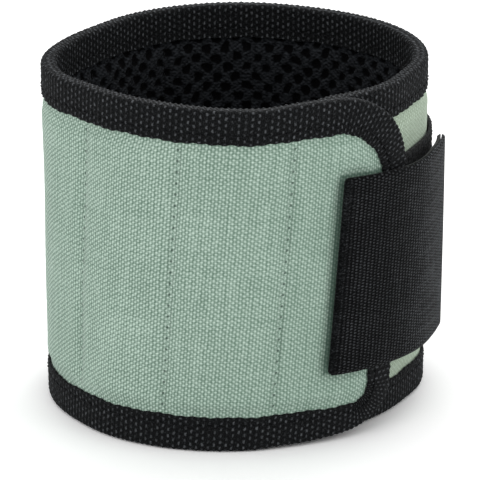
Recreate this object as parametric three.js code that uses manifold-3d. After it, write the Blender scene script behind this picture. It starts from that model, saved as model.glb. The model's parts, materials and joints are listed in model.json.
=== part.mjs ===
// Magnetic wristband: a padded fabric band rolled into a cuff that stands on its lower edge.
// The flap at the front lies over the band's inner end, and a hook-and-loop strap that is sewn
// to the flap runs on round the right side to a loop patch on the outside of the band.
// Units are millimetres and degrees, +Z is up and the viewer stands at -Y.
//
// Everything is placed on the band itself: a length along it, from 0 at the inner end to
// BAND_LENGTH at the flap's end, a height, and an offset outwards from the band's mid-surface.
// In plan the band follows a line whose radius changes with the turn, 0 at the front,
// 90 at the right and 360 at the front again.

import * as THREE from "three";
import { mergeVertices } from "three/addons/utils/BufferGeometryUtils.js";
import Module from "manifold-3d";

const wasm = await Module();
wasm.setup();

// Driving dimensions of the band.
const RING_RADIUS = 46.5;
const BAND_LENGTH = 330;
const BAND_HEIGHT = 88;
const INNER_END_RADIUS = 16;
const FLAP_TOP_RADIUS = 24;
const FLAP_BOTTOM_RADIUS = 13;
const EDGE_THICKNESS = 4.2;
const LAYER_CLEARANCE = 0.4;
const FIT = 0.3;
const FLAP_END_ANGLE = 417;
const MERGE_DISTANCE = 0.001;

// Angles that the rolled shape is worked out with.
const FULL_ANGLE = 360;
const QUARTER_ANGLE = 90;
const ANGLE_BEFORE_FLAP_END = 460;
const ANGLE_PAST_FLAP_END = 130;
const DIRECTION_ANGLE = 0.5;

// The rolled shape, hand-picked: turn, radius share at the top and at the bottom.
const PLAN_RADIUS_SHARES = [
  [5, 0.968, 0.996],
  [20, 0.944, 0.972],
  [35, 0.953, 0.976],
  [57, 1.002, 0.968],
  [75, 1.015, 0.987],
  [90, 1.056, 1.039],
  [108, 1.092, 1.085],
  [130, 1.114, 1.104],
  [155, 1.11, 1.1],
  [178, 1.108, 1.098],
  [195, 1.075, 1.066],
  [212, 1.024, 1.02],
  [230, 0.963, 0.966],
  [248, 0.959, 0.972],
  [270, 0.987, 0.961],
  [288, 0.976, 0.966],
  [306, 0.927, 0.974],
  [322, 0.927, 1.002],
  [342, 0.938, 1.013],
];

// The band's edges: share of its length, and the height shares of its lower and upper edge there.
const EDGE_HEIGHT_SHARES = [
  [0, 0.007, 1],
  [0.25, 0, 1],
  [0.6, 0, 1.003],
  [0.77, 0, 1.008],
  [0.87, 0, 1.005],
  [0.91, 0.006, 1.011],
  [1, 0.03, 1.003],
];

// The cloth leans as it rises, most of all at the flap.
const LEAN_SHARE = 0.095;
const LEAN_LENGTH_SHARES = [0.67, 0.93];

// Between its first and last turn the band steps out by one layer.
const STEP_ANGLES = [65, 375];
const LAYER_STEP = EDGE_THICKNESS + LAYER_CLEARANCE;

// Edge binding: a woven tape folded over the band's edge.
const TAPE_THICKNESS = 0.6;
const BINDING_WIDTH = 9;
const FOLD_DEPTH = 1.3;
const REST_FLAT_WIDTH = 1.8;

// Layers of the band between the tapes.
const CANVAS_THICKNESS = 0.5;
const LINING_THICKNESS = 0.9;
const SHOULDER = 3.7;
const TUCK = 4;
const POCKET_BULGE = 0.35;
const SEAM_DIP = 0.7;
const DIP_REACH = 3.5;

// Magnet pockets, counted back from the flap.
const FLAP_LENGTH = 35;
const POCKET_PITCH = 28;
const POCKETS = 5;
const MAGNETS_IN_POCKET = 3;
const MAGNET_WIDTH = 10;
const MAGNET_THICKNESS = 1.5;
const MAGNET_CHAMFER = 0.8;
const MAGNET_GAP = 4;
const POCKET_MARGIN = 2;

// Loop patch and hook strap.
const STRAP_WIDTH = 50;
const STRAP_SEWN_LENGTH = 22;
const STRAP_TAIL_LENGTH = 28;
const STRAP_TIP_RADIUS = 2;
const STRAP_DROP = 0.7;
const STRAP_TIP_DROP = 1.6;
const HOOK_THICKNESS = 1;
const WEB_THICKNESS = 0.9;
const PLY_GAP = 0.25;
const STRAP_LEAVES_ANGLE = 419;
const STRAP_LANDS_ANGLE = 468;
const PATCH_THICKNESS = 1;
const STRAP_CLEARANCE = 0.4;
const PATCH_WIDTH = 51;
const PATCH_LENGTH = 78;
const PATCH_SETBACK = 3;
const PATCH_DROP = 1;

// Half of the slit where two hinged panels meet.
const HINGE_HALF_GAP = 0.15;

// Spacing of the facets along the band, and round the flap's upper corner.
const COLUMN_PITCH = 7.5;
const CORNER_PITCH = 4;

const HALF_EDGE = EDGE_THICKNESS / 2;
const UNDER_TAPE = HALF_EDGE - TAPE_THICKNESS - FIT;
const MID_HEIGHT = BAND_HEIGHT / 2;
const patchFace = HALF_EDGE + FIT;

// The magnets in a pocket stand one above the other and share its height.
const pocketHeight = BAND_HEIGHT - 2 * (BINDING_WIDTH + POCKET_MARGIN);
const magnetPitch = pocketHeight / MAGNETS_IN_POCKET;
const magnetHeight = magnetPitch - MAGNET_GAP;

const COLOURS = {
  canvas: 0x8fb09b,
  tape: 0x26272a,
  lining: 0x1b1c1f,
  foam: 0x5a5b5e,
  magnet: 0xa8abb0,
  strap: 0x232427,
  hook: 0x1a1b1d,
};

function smooth(from, to, value) {
  const share = THREE.MathUtils.clamp((value - from) / (to - from), 0, 1);
  return share * share * (3 - 2 * share);
}

// A Catmull-Rom curve through the plan stations, for the column that holds the wanted shares.
function planShare(turn, column) {
  const stations = PLAN_RADIUS_SHARES;
  const count = stations.length;
  const wrapped = THREE.MathUtils.euclideanModulo(turn - stations[0][0], FULL_ANGLE) + stations[0][0];
  const station = (index) => {
    const laps = Math.floor(index / count);
    const shares = stations[index - laps * count];
    return [shares[0] + FULL_ANGLE * laps, shares[column]];
  };
  let at = 0;
  while (station(at + 1)[0] <= wrapped) at += 1;
  const [before, start, end, after] = [at - 1, at, at + 1, at + 2].map(station);
  const span = end[0] - start[0];
  const slopeIn = ((end[1] - before[1]) / (end[0] - before[0])) * span;
  const slopeOut = ((after[1] - start[1]) / (after[0] - start[0])) * span;
  const t = (wrapped - start[0]) / span;
  const rise = end[1] - start[1];
  const cubic = slopeIn + slopeOut - 2 * rise;
  const square = rise - slopeIn - cubic;
  return start[1] + t * (slopeIn + t * (square + t * cubic));
}

// Radius of the band's mid-surface at a turn and a height share.
function bandRadius(turn, heightShare) {
  const share = THREE.MathUtils.lerp(planShare(turn, 2), planShare(turn, 1), heightShare);
  return RING_RADIUS * share + LAYER_STEP * (smooth(...STEP_ANGLES, turn) - 0.5);
}

// Height shares of the band's edges at a length, eased from one station to the next.
function edgeShares(length) {
  const share = THREE.MathUtils.clamp(length / BAND_LENGTH, 0, 1);
  const at = EDGE_HEIGHT_SHARES.findIndex((station, index) => index > 0 && share <= station[0]);
  const [start, end] = [EDGE_HEIGHT_SHARES[at - 1], EDGE_HEIGHT_SHARES[at]];
  const eased = smooth(start[0], end[0], share);
  return [1, 2].map((column) => THREE.MathUtils.lerp(start[column], end[column], eased));
}

// Lengths along the band against turns, measured once in one-degree steps from the flap's end.
const FIRST_ANGLE = FLAP_END_ANGLE - ANGLE_BEFORE_FLAP_END;
const LAST_ANGLE = FLAP_END_ANGLE + ANGLE_PAST_FLAP_END;
const lengthAtTurn = [];

function planPoint(turn, radius) {
  const angle = THREE.MathUtils.degToRad(turn);
  return new THREE.Vector2(radius * Math.sin(angle), -radius * Math.cos(angle));
}

{
  let length = 0;
  let last = planPoint(FIRST_ANGLE, bandRadius(FIRST_ANGLE, 0.5));
  for (let turn = FIRST_ANGLE; turn <= LAST_ANGLE; turn += 1) {
    const next = planPoint(turn, bandRadius(turn, 0.5));
    length += next.distanceTo(last);
    lengthAtTurn.push(length);
    last = next;
  }
  const atFlapEnd = lengthAtTurn[ANGLE_BEFORE_FLAP_END];
  lengthAtTurn.forEach((value, index) => {
    lengthAtTurn[index] = value - atFlapEnd + BAND_LENGTH;
  });
}

function turnAt(length) {
  let index = lengthAtTurn.findIndex((value) => value > length);
  index = THREE.MathUtils.clamp(index, 1, lengthAtTurn.length - 1);
  const [low, high] = [lengthAtTurn[index - 1], lengthAtTurn[index]];
  return FIRST_ANGLE + index - 1 + (length - low) / (high - low);
}

function lengthAt(turn) {
  const index = Math.floor(turn - FIRST_ANGLE);
  return THREE.MathUtils.lerp(lengthAtTurn[index], lengthAtTurn[index + 1], turn - FIRST_ANGLE - index);
}

// A point of a surface with this plan radius, at a length, a height on the flat band and an offset.
// Where the lower edge rises, only the binding under it grows narrower.
function surfacePoint(radiusOf, length, height, offset) {
  const lean = LEAN_SHARE * smooth(...LEAN_LENGTH_SHARES, length / BAND_LENGTH);
  const turn = turnAt(length + lean * (height - MID_HEIGHT));
  const [lower, upper] = edgeShares(length);
  const share = (upper * height) / BAND_HEIGHT + lower * (1 - smooth(0, BINDING_WIDTH, height));
  const planAt = (at) => planPoint(at, radiusOf(at, share));
  const middle = planAt(turn);
  const along = planAt(turn + DIRECTION_ANGLE).sub(planAt(turn - DIRECTION_ANGLE)).normalize();
  return new THREE.Vector3(middle.x + along.y * offset, middle.y - along.x * offset, share * BAND_HEIGHT);
}

const bandPoint = (length, height, offset) => surfacePoint(bandRadius, length, height, offset);

// The strap's inner face leaves the flap's surface and nears the loop patch.
function strapRadius(turn, heightShare) {
  const onFlap = bandRadius(turn, heightShare) + HALF_EDGE + STRAP_CLEARANCE;
  const onPatch = bandRadius(turn - FULL_ANGLE, heightShare) + patchFace + PATCH_THICKNESS + STRAP_CLEARANCE;
  return THREE.MathUtils.lerp(onFlap, onPatch, smooth(STRAP_LEAVES_ANGLE, STRAP_LANDS_ANGLE, turn));
}

const strapPoint = (length, height, offset) => surfacePoint(strapRadius, length, height, offset);

// A closed geometry from triangles of points, turned to face outwards.
function closedGeometry(triangles) {
  let volume = 0;
  for (const [a, b, c] of triangles) volume += a.dot(b.clone().cross(c));
  const facing = volume < 0 ? triangles.map(([a, b, c]) => [a, c, b]) : triangles;
  return new THREE.BufferGeometry().setFromPoints(facing.flat());
}

// A slab over columns of lengths and rows of heights, between an inner and an outer offset.
function slab(columns, rowsAt, innerAt, outerAt, point = bandPoint) {
  const side = (offsetAt) =>
    columns.map((length) => rowsAt(length).map((height) => point(length, height, offsetAt(length, height))));
  const outer = side(outerAt);
  const inner = side(innerAt);
  const triangles = [];
  const quad = (a, b, c, d) => triangles.push([a, b, c], [a, c, d]);
  const lastColumn = columns.length - 1;
  const lastRow = outer[0].length - 1;
  for (let i = 0; i < lastColumn; i += 1) {
    for (let j = 0; j < lastRow; j += 1) {
      quad(outer[i][j], outer[i + 1][j], outer[i + 1][j + 1], outer[i][j + 1]);
      quad(inner[i][j], inner[i][j + 1], inner[i + 1][j + 1], inner[i + 1][j]);
    }
    quad(outer[i][0], inner[i][0], inner[i + 1][0], outer[i + 1][0]);
    quad(outer[i][lastRow], outer[i + 1][lastRow], inner[i + 1][lastRow], inner[i][lastRow]);
  }
  for (let j = 0; j < lastRow; j += 1) {
    quad(outer[0][j], outer[0][j + 1], inner[0][j + 1], inner[0][j]);
    const [out, back] = [outer[lastColumn], inner[lastColumn]];
    quad(out[j], back[j], back[j + 1], out[j + 1]);
  }
  return closedGeometry(triangles);
}

// A profile of [depth, offset] points carried along a path of band stations, closed by caps.
function sweptTape(path, profile) {
  const rings = path.map(({ length, height, inLength, inHeight }) =>
    profile.map(([depth, offset]) =>
      bandPoint(length + inLength * depth, height + inHeight * depth, offset),
    ),
  );
  const triangles = [];
  for (let i = 0; i + 1 < rings.length; i += 1) {
    profile.forEach((_, j) => {
      const k = (j + 1) % profile.length;
      const [here, next] = [rings[i], rings[i + 1]];
      triangles.push([here[j], next[j], next[k]], [here[j], next[k], here[k]]);
    });
  }
  const outline = profile.map(([depth, offset]) => new THREE.Vector2(depth, offset));
  const last = rings[rings.length - 1];
  for (const [a, b, c] of THREE.ShapeUtils.triangulateShape(outline, [])) {
    const turned = THREE.ShapeUtils.isClockWise(outline);
    const [p, q] = turned ? [c, b] : [b, c];
    triangles.push([rings[0][a], rings[0][p], rings[0][q]], [last[a], last[q], last[p]]);
  }
  return closedGeometry(triangles);
}

// Radius of the rounded corner nearest to a length and height.
function cornerRadius(length, height) {
  if (length < BAND_LENGTH / 2) return INNER_END_RADIUS;
  return height > MID_HEIGHT ? FLAP_TOP_RADIUS : FLAP_BOTTOM_RADIUS;
}

// Distance in from the band's rounded outline, in the flat.
function depthInside(length, height) {
  const fromEnd = Math.min(length, BAND_LENGTH - length);
  const fromEdge = Math.min(height, BAND_HEIGHT - height);
  const radius = cornerRadius(length, height);
  if (fromEnd < radius && fromEdge < radius)
    return radius - Math.hypot(radius - fromEnd, radius - fromEdge);
  return Math.min(fromEnd, fromEdge);
}

const seamAt = (_, k) => BAND_LENGTH - FLAP_LENGTH - POCKET_PITCH * k;
const seamLengths = Array.from({ length: POCKETS + 1 }, seamAt);
const [flapSeam, middleSeam, leftSeam] = seamLengths;

// How plump the padding is, from 0 under the tape or at a seam to 1 in the open.
function plumpness(length, height) {
  return smooth(BINDING_WIDTH + FIT, BINDING_WIDTH + FIT + SHOULDER, depthInside(length, height));
}

// Face offset of the padding: flush with the tape in the open, dipped at seams, bulged in pockets.
function faceOffset(length, height) {
  const toSeam = Math.min(...seamLengths.map((seam) => Math.abs(length - seam)));
  const dip = SEAM_DIP * (1 - smooth(0, DIP_REACH, toSeam));
  const inPocket = length < flapSeam && length > seamLengths[POCKETS];
  const bulge = inPocket ? POCKET_BULGE * smooth(0, POCKET_PITCH / 2, toSeam) : 0;
  return UNDER_TAPE + (HALF_EDGE - UNDER_TAPE - dip + bulge) * plumpness(length, height);
}

const canvasOuter = (length, height) => faceOffset(length, height);
const canvasInner = (length, height) => faceOffset(length, height) - CANVAS_THICKNESS;
const liningInner = (length, height) => -faceOffset(length, height);
const liningOuter = (length, height) => LINING_THICKNESS - faceOffset(length, height);
const foamOuter = (length, height) => canvasInner(length, height) - FIT;
const foamInner = (length, height) => liningOuter(length, height) + FIT;

// How far the inset outline lies from the bottom or top edge at a length, near a rounded end.
function insetFromEdge(length, edgeHeight, inset) {
  const fromEnd = Math.min(length, BAND_LENGTH - length);
  const corner = cornerRadius(length, edgeHeight);
  const radius = corner - inset;
  const along = THREE.MathUtils.clamp(corner - fromEnd, 0, radius);
  return corner - Math.sqrt(radius * radius - along * along);
}

// Rows of heights for the padding: its tucked edge, the tape's edge, the shoulder and the middle.
function paddingRows(length) {
  const insets = [BINDING_WIDTH - TUCK, BINDING_WIDTH + FIT, BINDING_WIDTH + FIT + SHOULDER];
  const [low, high] = [0, BAND_HEIGHT].map((edgeHeight) =>
    insets.map((inset, index) => insetFromEdge(length, edgeHeight, inset) + index * FIT),
  );
  return [...low, MID_HEIGHT, ...high.map((depth) => BAND_HEIGHT - depth).reverse()];
}

// Even columns between two lengths, at most COLUMN_PITCH apart.
function evenColumns(from, to, pitch = COLUMN_PITCH) {
  const steps = Math.max(1, Math.ceil((to - from) / pitch));
  return Array.from({ length: steps + 1 }, (_, k) => THREE.MathUtils.lerp(from, to, k / steps));
}

// Columns across one pocket: close at its seams, where the cloth dips, and wide in the middle.
const POCKET_COLUMN_SHARES = [0, 0.125, 0.375, 0.625, 0.875, 1];
const pocketColumns = (from, to) =>
  POCKET_COLUMN_SHARES.map((share) => THREE.MathUtils.lerp(from, to, share));

// Columns at a rounded end, counted from the end inwards.
const endInsets = [
  BINDING_WIDTH - TUCK,
  BINDING_WIDTH - TUCK / 2,
  BINDING_WIDTH + FIT,
  BINDING_WIDTH + FIT + SHOULDER,
];

const ascending = (values) => [...new Set(values)].sort((a, b) => a - b);

const backEnd = leftSeam - HINGE_HALF_GAP;
const plainBackColumns = evenColumns(INNER_END_RADIUS, seamLengths[POCKETS] - DIP_REACH);
const backColumns = ascending([
  ...endInsets,
  ...plainBackColumns,
  ...pocketColumns(seamLengths[5], seamLengths[4]),
  ...pocketColumns(seamLengths[4], seamLengths[3]),
  ...pocketColumns(seamLengths[3], backEnd),
]);
const leftColumns = pocketColumns(leftSeam + HINGE_HALF_GAP, middleSeam - HINGE_HALF_GAP);
const middleColumns = pocketColumns(middleSeam + HINGE_HALF_GAP, flapSeam - HINGE_HALF_GAP);
const flapStart = flapSeam + HINGE_HALF_GAP;
const flapColumns = ascending([
  flapStart,
  flapSeam + DIP_REACH,
  ...evenColumns(flapSeam + 2 * DIP_REACH, BAND_LENGTH - FLAP_TOP_RADIUS),
  ...evenColumns(BAND_LENGTH - FLAP_TOP_RADIUS, BAND_LENGTH - Math.max(...endInsets), CORNER_PITCH),
  ...endInsets.map((inset) => BAND_LENGTH - inset),
]);

// The tape's section: two legs joined by a fold, with a narrow flat on the fold to stand on.
const FOLD_ANGLES = [0, QUARTER_ANGLE / 2, QUARTER_ANGLE];
const halfFold = FOLD_ANGLES.map((angle) => {
  const turn = THREE.MathUtils.degToRad(angle);
  return [
    FOLD_DEPTH * (1 - Math.sin(turn)),
    REST_FLAT_WIDTH / 2 + (HALF_EDGE - REST_FLAT_WIDTH / 2) * Math.cos(turn),
  ];
});
const innerLeg = HALF_EDGE - TAPE_THICKNESS;
const tapeProfile = [
  [BINDING_WIDTH, HALF_EDGE],
  ...halfFold,
  ...halfFold.map(([depth, offset]) => [depth, -offset]).reverse(),
  [BINDING_WIDTH, -HALF_EDGE],
  [BINDING_WIDTH, -innerLeg],
  [FOLD_DEPTH + TAPE_THICKNESS, -innerLeg],
  [TAPE_THICKNESS, -innerLeg / 2],
  [TAPE_THICKNESS, innerLeg / 2],
  [FOLD_DEPTH + TAPE_THICKNESS, innerLeg],
  [BINDING_WIDTH, innerLeg],
];

const topStation = (length) => ({ length, height: BAND_HEIGHT, inLength: 0, inHeight: -1 });
const bottomStation = (length) => ({ length, height: 0, inLength: 0, inHeight: 1 });

// The outline round one end of the band, from the top edge to the bottom edge.
// side is 1 at the flap's end and -1 at the inner end.
const CORNER_STEPS = 5;
function endPath(side) {
  const end = side > 0 ? BAND_LENGTH : 0;
  const [topRadius, bottomRadius] = [BAND_HEIGHT, 0].map((height) => cornerRadius(end, height));
  const arc = (radius, centreHeight, from) =>
    Array.from({ length: CORNER_STEPS + 1 }, (_, k) => {
      const angle = THREE.MathUtils.degToRad(from - (QUARTER_ANGLE * k) / CORNER_STEPS);
      const [across, up] = [Math.cos(angle) * side, Math.sin(angle)];
      return {
        length: end - side * radius + radius * across,
        height: centreHeight + radius * up,
        inLength: -across,
        inHeight: -up,
      };
    });
  return [
    ...arc(topRadius, BAND_HEIGHT - topRadius, QUARTER_ANGLE),
    ...arc(bottomRadius, bottomRadius, 0),
  ];
}

// A tape with a rounded end: in along the top edge, round the end and back along the bottom.
function endedTape(columns, side) {
  const fromEnd = (length) => (side > 0 ? BAND_LENGTH - length : length);
  const towardsEnd = side > 0 ? columns : [...columns].reverse();
  const straight = (edgeHeight) =>
    towardsEnd.filter((length) => fromEnd(length) > cornerRadius(length, edgeHeight));
  const path = [
    ...straight(BAND_HEIGHT).map(topStation),
    ...endPath(side),
    ...straight(0).reverse().map(bottomStation),
  ];
  return sweptTape(path, tapeProfile);
}

// A chamfered block magnet, seated in the padding at a length and height.
function magnetBlock(width, height, thickness, chamfer) {
  const [x, y] = [width / 2, height / 2];
  const outline = new THREE.Shape(
    [
      [x, y - chamfer],
      [x - chamfer, y],
      [chamfer - x, y],
      [-x, y - chamfer],
      [-x, chamfer - y],
      [chamfer - x, -y],
      [x - chamfer, -y],
      [x, chamfer - y],
    ].map(([u, v]) => new THREE.Vector2(u, v)),
  );
  const block = new THREE.ExtrudeGeometry(outline, { depth: thickness, bevelEnabled: false });
  return block.translate(0, 0, -thickness / 2);
}

// The frame of the padding's mid-plane: X along the band, Y up it and Z outwards.
function seatMatrix(length, height) {
  const middle = (canvasInner(length, height) + liningOuter(length, height)) / 2;
  const half = MAGNET_WIDTH / 2;
  const origin = bandPoint(length, height, middle);
  const behind = bandPoint(length - half, height, middle);
  const along = bandPoint(length + half, height, middle).sub(behind).normalize();
  const up = bandPoint(length, height + half, middle).sub(bandPoint(length, height - half, middle));
  const out = along.clone().cross(up).normalize();
  const upright = out.clone().cross(along);
  return new THREE.Matrix4().makeBasis(along, upright, out).setPosition(origin);
}

function toSolid(geometry) {
  const bare = geometry.index ? geometry.toNonIndexed() : geometry.clone();
  bare.deleteAttribute("normal");
  bare.deleteAttribute("uv");
  const merged = mergeVertices(bare, MERGE_DISTANCE);
  return new wasm.Manifold(
    new wasm.Mesh({
      numProp: 3,
      vertProperties: merged.attributes.position.array,
      triVerts: new Uint32Array(merged.index.array),
    }),
  );
}

function toGeometry(solid) {
  const mesh = solid.getMesh();
  return new THREE.BufferGeometry()
    .setAttribute("position", new THREE.BufferAttribute(mesh.vertProperties, 3))
    .setIndex(new THREE.BufferAttribute(mesh.triVerts, 1));
}

// The magnets' seats in one pocket, from the bottom up.
function pocketSeats(pocket) {
  const length = (seamLengths[pocket] + seamLengths[pocket + 1]) / 2;
  return Array.from({ length: MAGNETS_IN_POCKET }, (_, k) => {
    const height = MID_HEIGHT + magnetPitch * (k - (MAGNETS_IN_POCKET - 1) / 2);
    return seatMatrix(length, height);
  });
}

// The foam pad of one panel, die-cut right through with a window for each magnet.
function foamPad(columns, pockets) {
  let foam = toSolid(slab(columns, paddingRows, foamInner, foamOuter));
  const depth = 2 * EDGE_THICKNESS;
  for (const seat of pockets.flatMap(pocketSeats)) {
    const window = magnetBlock(MAGNET_WIDTH + 2 * FIT, magnetHeight + 2 * FIT, depth, MAGNET_CHAMFER);
    foam = foam.subtract(toSolid(window.applyMatrix4(seat)));
  }
  return toGeometry(foam);
}

const materials = Object.fromEntries(
  Object.entries(COLOURS).map(([name, color]) => [
    name,
    new THREE.MeshStandardMaterial({
      color,
      roughness: name === "magnet" ? 0.3 : 0.9,
      metalness: name === "magnet" ? 1 : 0,
      flatShading: name === "magnet",
    }),
  ]),
);

function piece(name, geometry, material) {
  geometry.computeVertexNormals();
  const mesh = new THREE.Mesh(geometry, materials[material]);
  mesh.name = name;
  return mesh;
}

// The three sewn layers of a panel and its magnets.
function paddedPanel(name, columns, pockets) {
  const panel = new THREE.Group();
  panel.add(
    piece(`${name}_canvas`, slab(columns, paddingRows, canvasInner, canvasOuter), "canvas"),
    piece(`${name}_foam`, foamPad(columns, pockets), "foam"),
    piece(`${name}_mesh_lining`, slab(columns, paddingRows, liningInner, liningOuter), "lining"),
  );
  for (const pocket of pockets) {
    pocketSeats(pocket).forEach((seat, k) => {
      const magnet = magnetBlock(MAGNET_WIDTH, magnetHeight, MAGNET_THICKNESS, MAGNET_CHAMFER);
      panel.add(piece(`magnet_${POCKETS - pocket}_${k + 1}`, magnet.applyMatrix4(seat), "magnet"));
    });
  }
  return panel;
}

function panelWithStraightTapes(name, columns, pockets) {
  const panel = paddedPanel(name, columns, pockets);
  panel.add(
    piece(`${name}_top_binding`, sweptTape(columns.map(topStation), tapeProfile), "tape"),
    piece(`${name}_bottom_binding`, sweptTape(columns.map(bottomStation), tapeProfile), "tape"),
  );
  return panel;
}

const backPanel = paddedPanel("back", backColumns, [2, 3, 4]);
backPanel.add(piece("back_binding", endedTape(backColumns, -1), "tape"));

const leftPanel = panelWithStraightTapes("left", leftColumns, [1]);
const middlePanel = panelWithStraightTapes("middle", middleColumns, [0]);

const flapPanel = paddedPanel("flap", flapColumns, []);
flapPanel.add(piece("flap_binding", endedTape(flapColumns, 1), "tape"));

// The loop patch starts just past the flap's end, on the outside of the back panel.
const patchStart = lengthAt(FLAP_END_ANGLE - FULL_ANGLE) + PATCH_SETBACK;
const underPatch = (length) => length > patchStart && length < patchStart + PATCH_LENGTH;
const patchMiddle = MID_HEIGHT - PATCH_DROP;
const patchRows = () => [patchMiddle - PATCH_WIDTH / 2, patchMiddle, patchMiddle + PATCH_WIDTH / 2];
backPanel.add(
  piece(
    "loop_patch",
    slab(
      ascending([patchStart, ...backColumns.filter(underPatch), patchStart + PATCH_LENGTH]),
      patchRows,
      () => patchFace,
      () => patchFace + PATCH_THICKNESS,
    ),
    "strap",
  ),
);

// The strap sits a little low on the band, most of all at its tip.
const strapStart = BAND_LENGTH - STRAP_SEWN_LENGTH;
const strapHinge = BAND_LENGTH + HALF_EDGE / 2;
const strapTip = BAND_LENGTH + STRAP_TAIL_LENGTH;
function strapMiddle(length) {
  const share = (length - strapStart) / (strapTip - strapStart);
  return MID_HEIGHT - THREE.MathUtils.lerp(STRAP_DROP, STRAP_TIP_DROP, share);
}

// Strap rows, rounded at the tip.
function strapRows(length) {
  const middle = strapMiddle(length);
  const past = Math.max(0, length - (strapTip - STRAP_TIP_RADIUS));
  const cut = STRAP_TIP_RADIUS - Math.sqrt(Math.max(0, STRAP_TIP_RADIUS ** 2 - past ** 2));
  const half = STRAP_WIDTH / 2 - cut;
  return [middle - half, middle, middle + half];
}

// The strap's two plies: hook tape inside, plain web outside.
function strapPlies(name, columns) {
  const webInner = HOOK_THICKNESS + PLY_GAP;
  const ply = (inner, outer) => slab(columns, strapRows, () => inner, () => outer, strapPoint);
  return [
    piece(`${name}_hook_tape`, ply(0, HOOK_THICKNESS), "hook"),
    piece(`${name}_web`, ply(webInner, webInner + WEB_THICKNESS), "strap"),
  ];
}

const sewnColumns = evenColumns(strapStart, strapHinge - HINGE_HALF_GAP);
flapPanel.add(...strapPlies("sewn_strap", sewnColumns));

const strap = new THREE.Group();
const TIP_SHARES = [0.5, 0.87, 1];
strap.add(
  ...strapPlies("strap", [
    ...evenColumns(strapHinge + HINGE_HALF_GAP, strapTip - STRAP_TIP_RADIUS),
    ...TIP_SHARES.map((share) => strapTip - STRAP_TIP_RADIUS * (1 - share)),
  ]),
);

const wristband = new THREE.Group();
wristband.add(backPanel, leftPanel, middlePanel, flapPanel, strap);

// Where the band folds: the outermost line of each seam, and of the strap at the flap's end,
// from its lower to its upper end.
const strapFace = HOOK_THICKNESS + PLY_GAP + WEB_THICKNESS;
const strapEnds = [-STRAP_WIDTH / 2, STRAP_WIDTH / 2].map((rise) => strapMiddle(strapHinge) + rise);
const seamFold = (seam) => [0, BAND_HEIGHT].map((height) => bandPoint(seam, height, HALF_EDGE));
const folds = {
  left_fold: seamFold(leftSeam),
  middle_fold: seamFold(middleSeam),
  flap_fold: seamFold(flapSeam),
  strap_peel: strapEnds.map((height) => strapPoint(strapHinge, height, strapFace)),
};

// The origin is the middle of the base.
const bounds = new THREE.Box3().setFromObject(wristband);
const middle = bounds.getCenter(new THREE.Vector3());
wristband.position.set(-middle.x, -middle.y, -bounds.min.z);
wristband.userData.folds = Object.fromEntries(
  Object.entries(folds).map(([name, ends]) => [
    name,
    ends.map((end) => end.add(wristband.position).toArray()),
  ]),
);

export default wristband;
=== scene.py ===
"""Looks of the magnetic wristband.

Every cloth is cut flat, given its weave and its sewn dips, and then rolled round the wrist space.
A flat point is a length along the band from its inner end, a height on it and an offset outwards,
in millimetres, as in the part's own source. The rolled pieces are in metres, in the part's frame.
"""

import json
import math

import bmesh
import bpy
import numpy as np
from mathutils import Matrix, Vector


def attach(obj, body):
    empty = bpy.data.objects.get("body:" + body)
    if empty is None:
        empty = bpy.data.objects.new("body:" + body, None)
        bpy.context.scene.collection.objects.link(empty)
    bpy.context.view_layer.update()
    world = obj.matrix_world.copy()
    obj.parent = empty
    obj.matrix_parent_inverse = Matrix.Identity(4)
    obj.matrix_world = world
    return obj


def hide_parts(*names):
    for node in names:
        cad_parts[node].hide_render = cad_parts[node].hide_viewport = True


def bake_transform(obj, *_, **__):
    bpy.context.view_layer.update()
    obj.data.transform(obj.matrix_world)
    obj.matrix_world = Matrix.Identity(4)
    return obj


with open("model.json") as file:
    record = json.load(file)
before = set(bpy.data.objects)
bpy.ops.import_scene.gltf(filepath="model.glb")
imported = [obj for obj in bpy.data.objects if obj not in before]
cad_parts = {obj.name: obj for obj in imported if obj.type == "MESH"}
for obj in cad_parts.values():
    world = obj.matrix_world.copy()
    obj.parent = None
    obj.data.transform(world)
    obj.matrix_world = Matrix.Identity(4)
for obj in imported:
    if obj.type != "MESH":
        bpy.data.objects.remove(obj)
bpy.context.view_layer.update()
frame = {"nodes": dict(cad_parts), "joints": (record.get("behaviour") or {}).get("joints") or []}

MM = 0.001

# Driving dimensions of the band, the same as in the part's own source.
RING_RADIUS = 46.5
BAND_LENGTH = 330
BAND_HEIGHT = 88
MID_HEIGHT = BAND_HEIGHT / 2
INNER_END_RADIUS = 16
FLAP_TOP_RADIUS = 24
FLAP_BOTTOM_RADIUS = 13
EDGE_THICKNESS = 4.2
HALF_EDGE = EDGE_THICKNESS / 2
LAP_GAP = 0.4
LAYER_STEP = EDGE_THICKNESS + LAP_GAP
FIT = 0.3
FLAP_END_TURN = 417

# The rolled shape: turn, radius share at the top and at the bottom.
PLAN_RADIUS_SHARES = np.array([
    [5, 0.968, 0.996],
    [20, 0.944, 0.972],
    [35, 0.953, 0.976],
    [57, 1.002, 0.968],
    [75, 1.015, 0.987],
    [90, 1.056, 1.039],
    [108, 1.092, 1.085],
    [130, 1.114, 1.104],
    [155, 1.11, 1.1],
    [178, 1.108, 1.098],
    [195, 1.075, 1.066],
    [212, 1.024, 1.02],
    [230, 0.963, 0.966],
    [248, 0.959, 0.972],
    [270, 0.987, 0.961],
    [288, 0.976, 0.966],
    [306, 0.927, 0.974],
    [322, 0.927, 1.002],
    [342, 0.938, 1.013],
])

# The band's edges: share of its length, and the height shares of its lower and upper edge there.
EDGE_HEIGHT_SHARES = np.array([
    [0, 0.007, 1],
    [0.25, 0, 1],
    [0.6, 0, 1.003],
    [0.77, 0, 1.008],
    [0.87, 0, 1.005],
    [0.91, 0.006, 1.011],
    [1, 0.03, 1.003],
])
LEAN_SHARE = 0.095
LEAN_LENGTH_SHARES = (0.67, 0.93)
STEP_TURNS = (65, 375)
FULL_TURN = 360

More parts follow.
